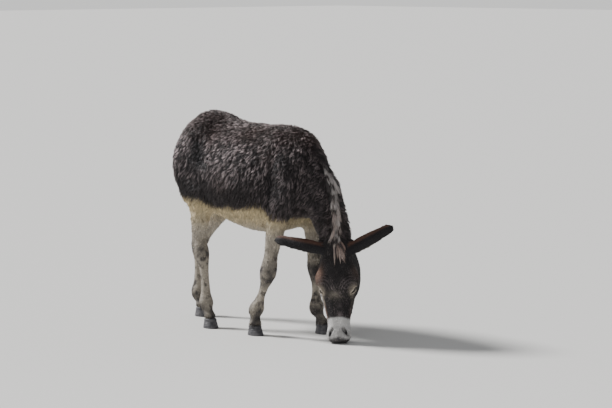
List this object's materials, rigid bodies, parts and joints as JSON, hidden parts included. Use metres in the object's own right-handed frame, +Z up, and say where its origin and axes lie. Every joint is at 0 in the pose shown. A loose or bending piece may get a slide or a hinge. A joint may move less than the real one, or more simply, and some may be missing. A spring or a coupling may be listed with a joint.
{
  "type": "donkey",
  "caption": "Life-size still model of a grazing donkey with a shaggy dark brown coat, pale belly and legs, a white muzzle and long ears, its head turned to its right.",
  "frame": {"origin": "On the floor under the middle of the model's footprint box", "axes": "+X forward along the trunk, +Y to the animal's left, +Z up"},
  "size_m": [1.5062, 0.4818, 1.1889],
  "materials": {
    "coat": "matt shaggy winter hair, dark brown above, cream below and on the legs",
    "mane": "matt coarse hair, dark with paler grey-brown strands",
    "hoof": "horn, dull blue-grey with a faint sheen and fine rings",
    "eye": "wet dark brown, glossy"
  },
  "bodies": {
    "root": {"hindquarters": "coat", "barrel": "coat", "forequarters": "coat", "neck": "coat", "head": "coat", "ear_right": "coat", "ear_left": "coat", "eye_right": "eye", "eye_left": "eye", "mane": "mane", "forelock": "mane", "tail_dock": "coat", "tail_tassel": "mane", "leg_fore_right_upper": "coat", "leg_fore_right_joint": "coat", "leg_fore_right_cannon": "coat", "leg_fore_right_pastern": "coat", "leg_fore_left_upper": "coat", "leg_fore_left_joint": "coat", "leg_fore_left_cannon": "coat", "leg_fore_left_pastern": "coat", "leg_hind_right_upper": "coat", "leg_hind_right_joint": "coat", "leg_hind_right_cannon": "coat", "leg_hind_right_pastern": "coat", "leg_hind_left_upper": "coat", "leg_hind_left_joint": "coat", "leg_hind_left_cannon": "coat", "leg_hind_left_pastern": "coat", "hoof_fore_right": "hoof", "hoof_fore_left": "hoof", "hoof_hind_right": "hoof", "hoof_hind_left": "hoof"}
  },
  "joints": []
}
